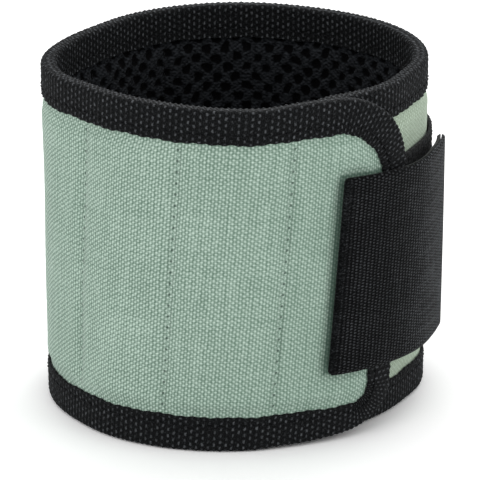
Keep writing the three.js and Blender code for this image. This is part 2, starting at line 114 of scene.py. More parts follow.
# Edge binding tape.
TAPE_THICKNESS = 0.6
BINDING_WIDTH = 9
FOLD_DEPTH = 1.3
REST_FLAT_WIDTH = 1.8
TAPE_STITCH_DEPTH = 6.6

# Layers of the band between the tapes.
CANVAS_THICKNESS = 0.5
LINING_THICKNESS = 0.9
UNDER_TAPE = HALF_EDGE - TAPE_THICKNESS - FIT
SHOULDER = 3.7
TUCK = 4
POCKET_BULGE = 0.35
SEAM_DIP = 0.7

# Pockets, counted back from the flap, and the magnets in them.
FLAP_LENGTH = 35
POCKET_PITCH = 28
POCKETS = 5
SEAM_LENGTHS = [BAND_LENGTH - FLAP_LENGTH - POCKET_PITCH * k for k in range(POCKETS + 1)]
FLAP_SEAM, MIDDLE_SEAM, LEFT_SEAM = SEAM_LENGTHS[:3]
SEAM_STITCH_PITCH = 2.85
MAGNET_WIDTH = 10
MAGNET_HEIGHT = 18
MAGNET_PITCH = 22
HINGE_HALF_GAP = 0.15

# Loop patch and hook strap.
STRAP_WIDTH = 50
STRAP_SEWN_LENGTH = 22
STRAP_TAIL_LENGTH = 28
STRAP_TIP_RADIUS = 2
STRAP_SEWN_RADIUS = 0.9
STRAP_DROP = 0.7
STRAP_TIP_DROP = 1.6
HOOK_THICKNESS = 1
WEB_THICKNESS = 0.9
PLY_GAP = 0.25
STRAP_LEAVES_TURN = 419
STRAP_LANDS_TURN = 468
STRAP_CLEARANCE = 0.4
STRAP_HINGE = BAND_LENGTH + HALF_EDGE / 2
STRAP_START = BAND_LENGTH - STRAP_SEWN_LENGTH
STRAP_END = BAND_LENGTH + STRAP_TAIL_LENGTH
PATCH_THICKNESS = 1
PATCH_WIDTH = 51
PATCH_LENGTH = 78
PATCH_SETBACK = 3
PATCH_DROP = 1
PATCH_FACE = HALF_EDGE + FIT

# Woven patterns: spacing along the cloth and across it.
CANVAS_YARNS = (0.82, 0.565)
RIBS_PER_POCKET = 19.25
TAPE_RIB_PITCH = POCKET_PITCH / RIBS_PER_POCKET
TAPE_FLOAT_PITCH = 1.65
WEB_YARNS = (1.1, 0.76)
MESH_HOLE_PITCH = (5.6, 2.63)


def smooth(low, high, value):
    share = np.clip((value - low) / (high - low), 0, 1)
    return share * share * (3 - 2 * share)


def mixed(start, end, share):
    return start + (end - start) * share


# The rolled map.


def plan_share(turn, column):
    """A Catmull-Rom curve through the plan stations."""
    lap = np.array([FULL_TURN, 0, 0])
    first, last = PLAN_RADIUS_SHARES[:2], PLAN_RADIUS_SHARES[-1:]
    stations = np.concatenate([last - lap, PLAN_RADIUS_SHARES, first + lap])
    turns, shares = stations[:, 0], stations[:, column]
    wrapped = (turn - turns[1]) % FULL_TURN + turns[1]
    at = np.searchsorted(turns, wrapped, side="right") - 1
    span = turns[at + 1] - turns[at]
    slope_in = (shares[at + 1] - shares[at - 1]) / (turns[at + 1] - turns[at - 1]) * span
    slope_out = (shares[at + 2] - shares[at]) / (turns[at + 2] - turns[at]) * span
    t = (wrapped - turns[at]) / span
    rise = shares[at + 1] - shares[at]
    cubic = slope_in + slope_out - 2 * rise
    square = rise - slope_in - cubic
    return shares[at] + t * (slope_in + t * (square + t * cubic))


def band_radius(turn, height_share):
    share = mixed(plan_share(turn, 2), plan_share(turn, 1), height_share)
    return RING_RADIUS * share + LAYER_STEP * (smooth(*STEP_TURNS, turn) - 0.5)


def strap_radius(turn, height_share):
    """The strap's inner face leaves the flap's surface and nears the loop patch."""
    on_flap = band_radius(turn, height_share) + HALF_EDGE + STRAP_CLEARANCE
    under = band_radius(turn - FULL_TURN, height_share)
    on_patch = under + PATCH_FACE + PATCH_THICKNESS + STRAP_CLEARANCE
    return mixed(on_flap, on_patch, smooth(STRAP_LEAVES_TURN, STRAP_LANDS_TURN, turn))


def plan_point(turn, radius):
    angle = np.radians(turn)
    return np.stack([radius * np.sin(angle), -radius * np.cos(angle)], axis=-1)


TURNS_BEFORE, TURNS_AFTER = 460, 130
table_turns = np.arange(FLAP_END_TURN - TURNS_BEFORE, FLAP_END_TURN + TURNS_AFTER + 1)
table_steps = np.diff(plan_point(table_turns, band_radius(table_turns, 0.5)), axis=0)
table_lengths = np.concatenate([[0], np.cumsum(np.linalg.norm(table_steps, axis=1))])
table_lengths += BAND_LENGTH - table_lengths[TURNS_BEFORE]


def edge_shares(length):
    """Height shares of the band's lower and upper edge, eased from one station to the next."""
    share = np.clip(length / BAND_LENGTH, 0, 1)
    at = np.clip(np.searchsorted(EDGE_HEIGHT_SHARES[:, 0], share, side="left"), 1, None)
    start, end = EDGE_HEIGHT_SHARES[at - 1], EDGE_HEIGHT_SHARES[at]
    eased = smooth(start[:, 0], end[:, 0], share)
    return [mixed(start[:, column], end[:, column], eased) for column in (1, 2)]


def rolled(flat, radius_of=band_radius):
    """The place in metres of flat points, before the origin is moved.

    Where the lower edge rises, only the binding under it grows narrower.
    """
    length, height, offset = np.asarray(flat, float).T
    lean = LEAN_SHARE * smooth(*LEAN_LENGTH_SHARES, length / BAND_LENGTH)
    turn = np.interp(length + lean * (height - MID_HEIGHT), table_lengths, table_turns)
    lower, upper = edge_shares(length)
    share = upper * height / BAND_HEIGHT + lower * (1 - smooth(0, BINDING_WIDTH, height))
    middle, ahead, behind = (plan_point(t, radius_of(t, share)) for t in (turn, turn + 0.5, turn - 0.5))
    along = (ahead - behind) / np.linalg.norm(ahead - behind, axis=1)[:, None]
    out = np.stack([along[:, 1], -along[:, 0]], axis=1)
    plan = middle + out * offset[:, None]
    return np.column_stack([plan, share * BAND_HEIGHT]) * MM


joints = {joint["name"]: joint for joint in frame["joints"]}
left_fold_top = rolled([[LEFT_SEAM, BAND_HEIGHT, HALF_EDGE]])[0]
origin = np.array(joints["left_fold"]["pos_m"]) - left_fold_top


def placed(flat, radius_of=band_radius):
    return rolled(flat, radius_of) + origin


# The band's own reliefs, on the flat.


def corner_radius(length, height):
    """Radius of the rounded corner nearest to a point."""
    at_flap = np.where(height > MID_HEIGHT, FLAP_TOP_RADIUS, FLAP_BOTTOM_RADIUS)
    return np.where(length < BAND_LENGTH / 2, INNER_END_RADIUS, at_flap)


def depth_inside(length, height):
    """Distance in from the band's rounded outline."""
    from_end = np.minimum(length, BAND_LENGTH - length)
    from_edge = np.minimum(height, BAND_HEIGHT - height)
    radius = corner_radius(length, height)
    corner = radius - np.hypot(radius - from_end, radius - from_edge)
    in_corner = (from_end < radius) & (from_edge < radius)
    return np.where(in_corner, corner, np.minimum(from_end, from_edge))


def distance_to_seam(length):
    return np.min([np.abs(length - seam) for seam in SEAM_LENGTHS], axis=0)


def face_offset(length, height):
    """Offset of the padding's faces: dipped at seams, plump in pockets, thin under the tape."""
    plump = smooth(BINDING_WIDTH + FIT, BINDING_WIDTH + FIT + SHOULDER, depth_inside(length, height))
    to_seam = distance_to_seam(length)
    dip = SEAM_DIP * (1 - smooth(0, POCKET_PITCH / 8, to_seam))
    in_pocket = (length > SEAM_LENGTHS[-1]) & (length < FLAP_SEAM)
    bulge = np.where(in_pocket, POCKET_BULGE * smooth(0, POCKET_PITCH / 2, to_seam), 0)
    return UNDER_TAPE + (HALF_EDGE - UNDER_TAPE - dip + bulge) * plump


patch_start = np.interp(FLAP_END_TURN - FULL_TURN, table_turns, table_lengths) + PATCH_SETBACK
patch_end = patch_start + PATCH_LENGTH


def corner_cut(from_end, radius):
    """How far a rounded corner takes an edge in, at a distance from its end."""
    short = np.clip(radius - from_end, 0, radius)
    return radius - np.sqrt(radius**2 - short**2)


def patch_edges(length):
    cut = corner_cut(np.minimum(length - patch_start, patch_end - length), STRAP_TIP_RADIUS)
    half = PATCH_WIDTH / 2 - cut
    return MID_HEIGHT - PATCH_DROP - half, MID_HEIGHT - PATCH_DROP + half


def strap_edges(length):
    along = (length - STRAP_START) / (STRAP_END - STRAP_START)
    middle = MID_HEIGHT - mixed(STRAP_DROP, STRAP_TIP_DROP, along)
    at_tip = corner_cut(STRAP_END - length, STRAP_TIP_RADIUS)
    half = STRAP_WIDTH / 2 - at_tip - corner_cut(length - STRAP_START, STRAP_SEWN_RADIUS)
    return middle - half, middle + half


STRAP_CREASE = 0.5
CREASE_REACH = 2.5


def pressed_in(length, height):
    """How deep the sewn strap presses the canvas and its padding along its edges."""
    low, high = strap_edges(np.clip(length, STRAP_START, STRAP_END))
    to_start = np.clip(STRAP_START - length, 0, None)
    to_side = np.clip(np.maximum(low - height, height - high), 0, None)
    return STRAP_CREASE * (1 - smooth(0, CREASE_REACH, np.hypot(to_start, to_side)))


PUCKER_DEPTH = 0.12
PUCKER_REACH = 2.4
SLACK_DEPTH = 0.16
# Lengths and heights, over 2 pi, of the two waves in which the canvas lies slack.
SLACK_WAVES = ((5.7, 10.3), (3.9, -7.1))
SECOND_WAVE_STARTS = 2


def canvas_offset(length, height):
    """The canvas puckers between its stitches and lies a little slack in between."""
    near_seam = np.exp(-((distance_to_seam(length) / PUCKER_REACH) ** 2))
    pucker = np.cos(2 * np.pi * height / SEAM_STITCH_PITCH) * near_seam
    (long_1, tall_1), (long_2, tall_2) = SLACK_WAVES
    slack = np.sin(length / long_1 + height / tall_1)
    slack = slack + np.sin(length / long_2 + height / tall_2 + SECOND_WAVE_STARTS)
    relief = PUCKER_DEPTH * pucker + SLACK_DEPTH * (slack / 2 - 1) - pressed_in(length, height)
    inside = smooth(BINDING_WIDTH + FIT, BINDING_WIDTH + 2 * SHOULDER, depth_inside(length, height))
    return face_offset(length, height) + relief * inside


HOLE_DEPTH = 0.78
HOLE_EDGE = 0.45


def mesh_lattice(length, height, wave):
    """One at the middle of each hole of the air mesh and minus one on the knots between.

    The knit is pulled a little out of line. wave is a cosine of a value with a period.
    """
    pitch, rise = MESH_HOLE_PITCH
    across = length + wave(height + length * 0.4, 9.7) * 0.4 + wave(height * 1.7 + length, 7.3) * 0.25
    up = height + wave(length - height * 0.3, 13.1) * 0.3 + wave(length * 1.3 - height, 6.1) * 0.22
    return wave(across, pitch) * wave(up, 2 * rise)


def hole_share(length, height):
    """How deep a point lies in the air mesh's holes, from 0 on the knots to 1."""
    lattice = mesh_lattice(length, height, lambda value, period: np.cos(2 * np.pi * value / period))
    return smooth(0, HOLE_EDGE, lattice)


def inset_from_edge(length, edge_height, inset):
    """How far the inset outline lies from the bottom or top edge, near a rounded end."""
    from_end = np.minimum(length, BAND_LENGTH - length)
    corner = corner_radius(length, edge_height)
    radius = corner - inset
    along = np.clip(corner - from_end, 0, radius)
    return corner - np.sqrt(radius * radius - along * along)


def padding_edges(length):
    inset = BINDING_WIDTH - TUCK
    low, high = (inset_from_edge(length, edge, inset) for edge in (0, BAND_HEIGHT))
    return low, BAND_HEIGHT - high


# The binding tape's section.

TAPE_GRAIN = 0.41
FOLD_POINTS = 7


def tape_ring():
    """The tape's closed section: depth and offset, its normals, the way across it and what shows."""
    fold = np.linspace(0, math.pi / 2, FOLD_POINTS)
    half_flat = REST_FLAT_WIDTH / 2
    fold_depth = FOLD_DEPTH * (1 - np.sin(fold))
    fold_offset = half_flat + (HALF_EDGE - half_flat) * np.cos(fold)
    leg = np.linspace(BINDING_WIDTH, FOLD_DEPTH, round((BINDING_WIDTH - FOLD_DEPTH) / TAPE_GRAIN) + 1)
    half_depth = np.concatenate([leg[:-1], fold_depth])
    half_offset = np.concatenate([np.full(len(leg) - 1, HALF_EDGE), fold_offset])
    depth = np.concatenate([half_depth, half_depth[::-1]])
    offset = np.concatenate([half_offset, -half_offset[::-1]])
    inside = HALF_EDGE - TAPE_THICKNESS
    hidden_side = np.array([
        [BINDING_WIDTH, -inside],
        [FOLD_DEPTH + TAPE_THICKNESS, -inside],
        [TAPE_THICKNESS, -inside / 2],
        [TAPE_THICKNESS, inside / 2],
        [FOLD_DEPTH + TAPE_THICKNESS, inside],
        [BINDING_WIDTH, inside],
    ])
    shown = np.arange(len(depth) + len(hidden_side)) < len(depth)
    ring = np.concatenate([np.column_stack([depth, offset]), hidden_side])
    across = np.concatenate([[0], np.cumsum(np.linalg.norm(np.diff(ring, axis=0), axis=1))])
    tangent = np.roll(ring, -1, axis=0) - np.roll(ring, 1, axis=0)
    normal = np.column_stack([tangent[:, 1], -tangent[:, 0]])
    normal /= np.linalg.norm(normal, axis=1)[:, None]
    return ring, normal, across, shown


TAPE_RING, TAPE_NORMAL, TAPE_ACROSS, TAPE_SHOWN = tape_ring()
TAPE_FLAT_WIDTH = TAPE_ACROSS[TAPE_SHOWN][-1]


# Making pieces.

SHARP_ANGLE = math.radians(50)
BACK_COARSENESS = 8
FEWEST_BACK_ROWS = 4


def finished(name, bm, look, place, radius_of=band_radius):
    """The object of a bmesh: place turns its points into flat points and pattern coordinates."""
    mesh = bpy.data.meshes.new(name)
    bm.to_mesh(mesh)
    bm.free()
    raw = np.empty(len(mesh.vertices) * 3, np.float32)
    mesh.vertices.foreach_get("co", raw)
    flat, pattern = place(raw.reshape(-1, 3).astype(float))
    mesh.vertices.foreach_set("co", placed(flat, radius_of).astype(np.float32).ravel())
    corners = np.empty(len(mesh.loops), np.int32)
    mesh.loops.foreach_get("vertex_index", corners)
    layer = mesh.uv_layers.new(name="cloth")
    layer.uv.foreach_set("vector", pattern[corners].astype(np.float32).ravel())
    outward = bmesh.new()
    outward.from_mesh(mesh)
    bmesh.ops.recalc_face_normals(outward, faces=outward.faces)
    outward.to_mesh(mesh)
    outward.free()
    mesh.shade_smooth()
    mesh.set_sharp_from_angle(angle=SHARP_ANGLE)
    mesh.materials.append(look)
    piece = bpy.data.objects.new(name, mesh)
    bpy.context.scene.collection.objects.link(piece)
    return piece


def sleeve(columns, ring):
    """A closed tube of quads along Z, for the two faces and the rims of a cloth."""
    bm = bmesh.new()
    bmesh.ops.create_cone(bm, cap_ends=True, segments=ring, radius1=1, radius2=1, depth=1)
    along = [edge for edge in bm.edges if abs(edge.verts[0].co.z - edge.verts[1].co.z) > 0.5]
    bmesh.ops.subdivide_edges(bm, edges=along, cuts=columns - 1, use_grid_fill=True)
    return bm


def sleeve_indices(raw, columns, ring):
    """Column and ring number of each point of a sleeve."""
    column = np.rint((raw[:, 2] + 0.5) * columns).astype(int)
    around = np.rint(np.arctan2(raw[:, 1], raw[:, 0]) / (2 * np.pi) * ring).astype(int) % ring
    return column, around


def two_faced(name, look, columns, rows_at, shown, hidden, grain, radius_of=band_radius):
    """A cloth with a fine shown face and a coarse hidden one, on columns of lengths.

    rows_at gives the lowest and highest height at each length, and shown and hidden the offsets.
    """
    start, end = columns
    count = max(2, round((end - start) / grain[0]))
    low, high = rows_at((start + end) / 2)
    rows = round(float(high - low) / grain[1])
    back_rows = max(FEWEST_BACK_ROWS, rows // BACK_COARSENESS)
    ring = rows + back_rows + 2
    up = np.concatenate([np.linspace(0, 1, rows + 1), np.linspace(1, 0, back_rows + 1)])
    is_shown = np.arange(ring) <= rows

    def place(raw):
        column, around = sleeve_indices(raw, count, ring)
        length = mixed(start, end, column / count)
        low, high = rows_at(length)
        height = mixed(low, high, up[around])
        offset = np.where(is_shown[around], shown(length, height), hidden(length, height))
        return np.column_stack([length, height, offset]), np.column_stack([length, height])

    return finished(name, sleeve(count, ring), look, place, radius_of)


# The bodies under each section. A section runs from the middle of one pocket to the next.

BEND_REACH = 4
STRAP_BEND_REACH = 3
SECTION_BODIES = {
    "back": ("back_band",),
    "left": ("back_band", "left_panel", "left_fold", LEFT_SEAM),
    "middle": ("left_panel", "middle_panel", "middle_fold", MIDDLE_SEAM),
    "flap": ("middle_panel", "flap", "flap_fold", FLAP_SEAM),
    "strap": ("flap", "strap", "strap_peel", STRAP_HINGE),
}
SECTION_SPANS = {
    "back": (0, LEFT_SEAM - POCKET_PITCH / 2),
    "left": (LEFT_SEAM - POCKET_PITCH / 2, MIDDLE_SEAM - POCKET_PITCH / 2),
    "middle": (MIDDLE_SEAM - POCKET_PITCH / 2, FLAP_SEAM - POCKET_PITCH / 2),
    "flap": (FLAP_SEAM - POCKET_PITCH / 2, BAND_LENGTH),
}


def follow(piece, section):
    """The piece rides on its body, or, between two bodies, has its place baked into its mesh."""
    body, *joined = SECTION_BODIES[section]
    if not joined:
        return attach(piece, body)
    next_body, joint, seam = joined
    reach = STRAP_BEND_REACH if section == "strap" else BEND_REACH
    radius_of = strap_radius if section == "strap" else band_radius
    behind, ahead = placed([[seam - reach, MID_HEIGHT, 0], [seam + reach, MID_HEIGHT, 0]], radius_of)
    axis = Vector(joints[joint]["axis"]).normalized()
    top = Vector(joints[joint]["pos_m"])
    middle = top + axis * ((MID_HEIGHT * MM - top.z) / axis.z)
    across = Vector(ahead - behind)
    across = (across - axis * across.dot(axis)).normalized() * reach * MM
    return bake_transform(piece, body, next_body, start=middle - across, end=middle + across)


# Looks.


def colour(red, green, blue):
    """A colour given as it shows on a screen, from 0 to 255."""
    shares = [value / 255 for value in (red, green, blue)]
    linear = [s / 12.92 if s <= 0.04045 else ((s + 0.055) / 1.055) ** 2.4 for s in shares]
    return (*linear, 1)


class Wire:
    """An output of a node. Sums on it add Math nodes."""

    def __init__(self, tree, socket):
        self.tree = tree
        self.socket = socket

    def _math(self, operation, *values):
        return self.tree.node("ShaderNodeMath", {"operation": operation}, dict(enumerate(values)))

    def __add__(self, other):
        return self._math("ADD", self, other)

    def __sub__(self, other):
        return self._math("SUBTRACT", self, other)

    def __rsub__(self, other):
        return self._math("SUBTRACT", other, self)

    def __mul__(self, other):
        return self._math("MULTIPLY", self, other)

    def __mod__(self, other):
        return self._math("FLOORED_MODULO", self, other)

    __radd__ = __add__
    __rmul__ = __mul__

    def wave(self, period):
        """A cosine, one at 0 and again after each period."""
        return self._math("COSINE", self * (2 * math.pi / period))

    def squared(self):
        return self * self

    def or_more(self, other):
        return self._math("MAXIMUM", self, other)

    def step(self, low, high):
        """A smooth step from 0 at low to 1 at high."""
        inputs = {"Value": self, "From Min": low, "From Max": high}
        return self.tree.node("ShaderNodeMapRange", {"interpolation_type": "SMOOTHSTEP"}, inputs)


class Tree:
    """The nodes of a material or a world, all added by one method."""

    def __init__(self, owner):
        owner.use_nodes = True
        self.nodes = owner.node_tree.nodes
        self.links = owner.node_tree.links
        self.nodes.clear()

    def node(self, kind, settings, inputs, output=0):
        """Settings are set first, then the values or links of the sockets."""
        node = self.nodes.new(kind)
        for name, value in settings.items():
            setattr(node, name, value)
        for name, value in inputs.items():
            if isinstance(value, Wire):
                self.links.new(value.socket, node.inputs[name])
            else:
                node.inputs[name].default_value = value
        return Wire(self, node.outputs[output]) if node.outputs else None


class Look(Tree):
    """A material of one Principled shader."""

    def __init__(self, name, fixed):
        self.material = bpy.data.materials.new(name)
        super().__init__(self.material)
        self.shader = self.node("ShaderNodeBsdfPrincipled", {}, fixed)
        self.node("ShaderNodeOutputMaterial", {}, {"Surface": self.shader})

    def feed(self, name, wire):
        self.links.new(wire.socket, self.shader.socket.node.inputs[name])

    def pattern(self):
        """The length and height of the flat cloth, in millimetres."""
        coordinates = self.node("ShaderNodeUVMap", {"uv_map": "cloth"}, {})
        split = self.node("ShaderNodeSeparateXYZ", {}, {"Vector": coordinates})
        return split, Wire(self, split.socket.node.outputs[1])

    def noise(self, along, up, detail=1):
        """Noise with about one blotch for each unit along and up, 0 on average."""
        place = self.node("ShaderNodeCombineXYZ", {}, {"X": along, "Y": up})
        return self.node("ShaderNodeTexNoise", {}, {"Vector": place, "Scale": 1, "Detail": detail}) - 0.5

    def grains(self, kind, scale):
        """Noise or cells in the piece's own space, with their number to a metre."""
        place = self.node("ShaderNodeTexCoord", {}, {}, output="Object")
        return self.node(kind, {}, {"Vector": place, "Scale": scale})

    def colours(self, factor, first, second):
        """A mix of two colours: the Mix node's colours go in at 6 and 7 and come out at 2."""
        inputs = {0: factor, 6: first, 7: second}
        return self.node("ShaderNodeMix", {"data_type": "RGBA"}, inputs, output=2)

    def bump(self, height, distance):
        self.feed("Normal", self.node("ShaderNodeBump", {}, {"Height": height, "Distance": distance}))


def wandered(look, along, up, amount):
    """Yarns that don't run quite straight: the pattern is moved a little by slow noise."""
    sideways = look.noise(along * 0.22, up * 0.22, 2) * amount
    upwards = look.noise(up * 0.9, along * 0.9, 2) * (amount / 2)
    return along + sideways, up + upwards


def yarn_streaks(look, along, up):
    """Light and dark yarns, in long streaks both ways."""
    return look.noise(along * 1.25, up * 0.06) + look.noise(along * 0.06, up * 1.7)


# Colours of the cloths and fillings, each as its darkest and its lightest yarn or spot.
SAGE = (colour(103, 130, 114), colour(206, 228, 214))
# Painted light: a lighter, greyer sage mixed into the rear band, standing in for the light and reflection
# it catches.
REAR_PAINTED_LIGHT_SAGE = colour(172, 180, 152)
# Painted shade beside the sewn strap.
STRAP_SHADE_SAGE = colour(34, 74, 58)
# Painted shade in the needle holes of the pocket seams.
NEEDLE_HOLE_SHADE_SAGE = colour(60, 84, 73)
TAPE_BLACK = (colour(7, 8, 9), colour(88, 91, 94))
WEB_BLACK = (colour(2, 3, 4), colour(85, 88, 91))
MESH_BLACK = (colour(4, 5, 7), colour(54, 57, 61))
# Painted shade in the air mesh's holes.
MESH_HOLE_SHADE = colour(2, 2, 3)
PILE_BLACK = (colour(6, 7, 8), colour(46, 48, 50))
HOOK_BLACK = (colour(9, 10, 11), colour(38, 39, 42))
FOAM_GREY = (colour(58, 59, 62), colour(112, 113, 116))
NICKEL = (colour(186, 188, 192), colour(206, 207, 209))
SAGE_THREAD = (colour(138, 163, 148), colour(176, 198, 185))
BLACK_THREAD = (colour(7, 8, 9), colour(28, 29, 31))

# Widths on the cloth in millimetres: of a mark's rim and its core, or of a border's two ends.
NEEDLE_HOLE_RADII = (0.38, 0.1)
SEAM_END_FADE = (2, 1)
CREASE_HALF_WIDTH = 1
STRAP_SHADE_START = (0.7, 0.1)
STRAP_SHADE_SIDE = 0.7
STRAP_HEM = (0.3, 2.2)
# Where the painted sheen on the strap web starts, past the strap's sewn end.
TIP_SHEEN_FROM = 14
FOLD_LOOPS_HALF = (1.7, 0.5)
KNIT_PITCH = (1.5, 1.1)
HOOK_PITCH = 1.4
TWIST_PITCH = 0.6


def seam_marks(along, up):
    """The pierced holes between the stitches of the pocket seams, and the crease along each seam."""
    pitch = SEAM_STITCH_PITCH
    rim, core = NEEDLE_HOLE_RADII
    from_hole = (up + pitch / 2) % pitch - pitch / 2
    from_seam = (FLAP_SEAM + POCKET_PITCH / 2 - along) % POCKET_PITCH - POCKET_PITCH / 2
    first_seam, last_seam = SEAM_LENGTHS[-1], FLAP_SEAM
    far, near = SEAM_END_FADE
    low, high = BINDING_WIDTH, BAND_HEIGHT - BINDING_WIDTH
    sewn = along.step(first_seam - far, first_seam - near) * along.step(last_seam + far, last_seam + near)
    sewn = sewn * up.step(low, low + near) * up.step(high, high - near)
    holes = (from_hole.squared() + from_seam.squared()).step(rim**2, core**2) * sewn
    return holes, from_seam.squared().step(CREASE_HALF_WIDTH**2, 0) * sewn


def painted_strap_shade(along, up):
    """Painted shade along the sewn strap's edges, where it presses the canvas in: one at the strap, down
    to 0 beside it.
    """
    low, high = strap_edges(STRAP_START + STRAP_TIP_RADIUS)
    far, near = STRAP_SHADE_START
    beside = along.step(STRAP_START - far, STRAP_START - near)
    return beside * up.step(low - STRAP_SHADE_SIDE, low) * up.step(high + STRAP_SHADE_SIDE, high)


# Lengths over which the painted light on the rear band comes in, full towards the band's inner end.
REAR_PAINTED_LIGHT_LENGTHS = (110, 65)


def canvas_look():
    fixed = {"Roughness": 0.85, "Specular IOR Level": 0.3, "Sheen Weight": 0.1, "Sheen Roughness": 0.5}
    look = Look("canvas", fixed)
    along, up = look.pattern()
    warp, weft = wandered(look, along, up, 0.5)
    wide, tall = CANVAS_YARNS
    crossing = warp.wave(2 * wide) * weft.wave(2 * tall)
    slanted = (warp - wide / 2).wave(2 * wide) * (weft - tall / 2).wave(2 * tall)
    slant = 1 - along.step(MIDDLE_SEAM - POCKET_PITCH / 2, FLAP_SEAM) * 2
    # Towards the flap the weave shows less contrast, as the cloth is pulled taut, and the canvas is
    # darker: painted shade, as on the side turned from the light.
    taut_and_shaded = along.step(LEFT_SEAM + POCKET_PITCH / 2, FLAP_SEAM + POCKET_PITCH / 2)
    weave = crossing * 0.26 + slanted * slant * 0.1 + warp.wave(wide) * 0.18 + weft.wave(tall) * 0.08
    slubs = look.noise(along * (1 / wide), up * (1 / tall)) * 0.75
    shades = yarn_streaks(look, along, up) * 0.25 + look.noise(along * 0.05, up * 0.05) * 0.1
    light = (weave + slubs) * (1 - taut_and_shaded * 0.3) + shades - taut_and_shaded * 0.08 + 0.42
    cloth = look.colours(light.step(0, 1), *SAGE)
    # Painted light: towards the band's inner end the canvas is lighter and greyer, standing in for light
    # and reflection on the rear band.
    rear_painted_light = look.colours(along.step(*REAR_PAINTED_LIGHT_LENGTHS) * 0.4, cloth, REAR_PAINTED_LIGHT_SAGE)
    # Painted shade: the canvas is darker green along the sewn strap's edges, where the strap shades it.
    strap_shaded = look.colours(painted_strap_shade(along, up) * 0.6, rear_painted_light, STRAP_SHADE_SAGE)
    holes, crease = seam_marks(along, up)
    # Painted shade: the needle holes are darkened, as shade falls into them.
    look.feed("Base Color", look.colours(holes * 0.75, strap_shaded, NEEDLE_HOLE_SHADE_SAGE))
    look.bump(weave - holes * 2 - crease * 2.5, 0.14 * MM)
    return look.material


def tape_look():
    fixed = {"Roughness": 0.75, "Specular IOR Level": 0.08, "Sheen Weight": 0.02, "Sheen Roughness": 0.4}
    look = Look("binding tape", fixed)
    along, up = look.pattern()
    ragged = look.noise(along * 1.6, up * 1.2, 2)
    fuzz = look.noise(along * 4.5, up * 1.8, 3)
    wear_and_sheen = look.noise(along * 0.4, up * 0.5)
    drawn = along + look.noise(along * 0.8, up * 1.3, 2) * 0.7
    column = drawn.wave(2 * TAPE_RIB_PITCH)
    floats = column * (up - TAPE_FLOAT_PITCH / 4).wave(TAPE_FLOAT_PITCH)
    dash = column.squared().step(0.5, 0.98) * (floats + ragged * 1.6).step(-0.5, 0.6)
    loops_end, loops_full = FOLD_LOOPS_HALF
    on_fold = (up - TAPE_FLAT_WIDTH / 2).squared().step(loops_end**2, loops_full**2)
    # The fold's loops are lighter: looped yarn, and partly a painted highlight where the fold catches the
    # light.
    loops = (along + up).wave(TAPE_RIB_PITCH).step(-0.1, 0.9) * on_fold
    light = dash * (wear_and_sheen * 1.6 + 0.46) + loops * 0.35 + fuzz * 1.1 + 0.08
    look.feed("Base Color", look.colours(light.step(0, 1), *TAPE_BLACK))
    look.bump(dash * 0.7 + loops * 0.6 + fuzz * 0.8, 0.2 * MM)
    return look.material


def web_look():
    sheen = {"Sheen Weight": 0.015, "Sheen Roughness": 0.35}
    look = Look("strap web", {"Roughness": 0.75, "Specular IOR Level": 0.06, **sheen})
    along, up = look.pattern()
    warp, weft = wandered(look, along, up, 0.5)
    wide, tall = WEB_YARNS
    past_hem = (along - STRAP_START).step(*STRAP_HEM)
    # Painted sheen: towards the strap's tip the web is lighter and its weave more contrasty, standing in
    # for the sheen of light grazing it.
    tip_sheen_share = along.step(STRAP_START + TIP_SHEEN_FROM, STRAP_END)
    weave = warp.wave(2 * wide) * weft.wave(tall) * 0.34 + warp.wave(wide) * 0.22
    floats = look.noise(along * 0.9, up * 2.6, 2)
    fuzz = look.noise(along * 2.5, up * 2.5, 3)
    streaks = yarn_streaks(look, along, up)
    shades = streaks * 0.4 + look.noise(along * 0.12, up * 0.12) * 0.3
    wear_and_sheen = weave * 2 + streaks * 1.8 + floats * 2 + weft.wave(tall) * 0.5 + 0.45
    light = weave * past_hem + shades + floats * 0.7 + fuzz * 1.3 + wear_and_sheen * tip_sheen_share + 0.1
    look.feed("Base Color", look.colours(light.step(0, 1.1), *WEB_BLACK))
    look.bump(weave * past_hem * 2 + floats * 2 + fuzz * 2, 0.3 * MM)
    return look.material


def mesh_look():
    fixed = {"Roughness": 0.8, "Specular IOR Level": 0.05, "Sheen Weight": 0.02, "Sheen Roughness": 0.5}
    look = Look("air mesh", fixed)
    along, up = look.pattern()
    # Painted shade: the air mesh's holes are near black, as shade falls into them.
    hole = mesh_lattice(along, up, Wire.wave).step(-0.05, 0.4)
    curls = look.noise(along * 0.9, up * 1.8, 4)
    knit = along.wave(KNIT_PITCH[0]) * up.wave(KNIT_PITCH[1]) * 0.12
    light = curls * 1.7 + knit + 0.4
    yarn = look.colours(light.step(0, 1), *MESH_BLACK)
    look.feed("Base Color", look.colours(hole, yarn, MESH_HOLE_SHADE))
    look.bump(curls + knit, 0.4 * MM)
    return look.material


def pile_look():
    fixed = {"Roughness": 0.95, "Specular IOR Level": 0.1, "Sheen Weight": 0.05, "Sheen Roughness": 0.6}
    look = Look("loop pile", fixed)
    curls = look.grains("ShaderNodeTexVoronoi", 1300)
    tufts = look.grains("ShaderNodeTexNoise", 800)
    light = curls * 0.9 + tufts * 0.9 - 0.55
    look.feed("Base Color", look.colours(light.step(0, 1), *PILE_BLACK))
    look.bump(curls + tufts, 0.3 * MM)
    return look.material


def hook_look():
    look = Look("hook tape", {"Roughness": 0.6, "Specular IOR Level": 0.25})
    along, up = look.pattern()
    hooks = along.wave(HOOK_PITCH) * up.wave(HOOK_PITCH)
    look.feed("Base Color", look.colours(hooks.step(0.2, 0.9), *HOOK_BLACK))
    look.bump(hooks.step(0.3, 0.9), 0.3 * MM)
    return look.material


def foam_look():
    look = Look("foam", {"Roughness": 0.95, "Specular IOR Level": 0.2})
    cells = look.grains("ShaderNodeTexVoronoi", 1600)
    look.feed("Base Color", look.colours(cells.step(0, 0.8), *FOAM_GREY))
    look.bump(cells, 0.2 * MM)
    return look.material


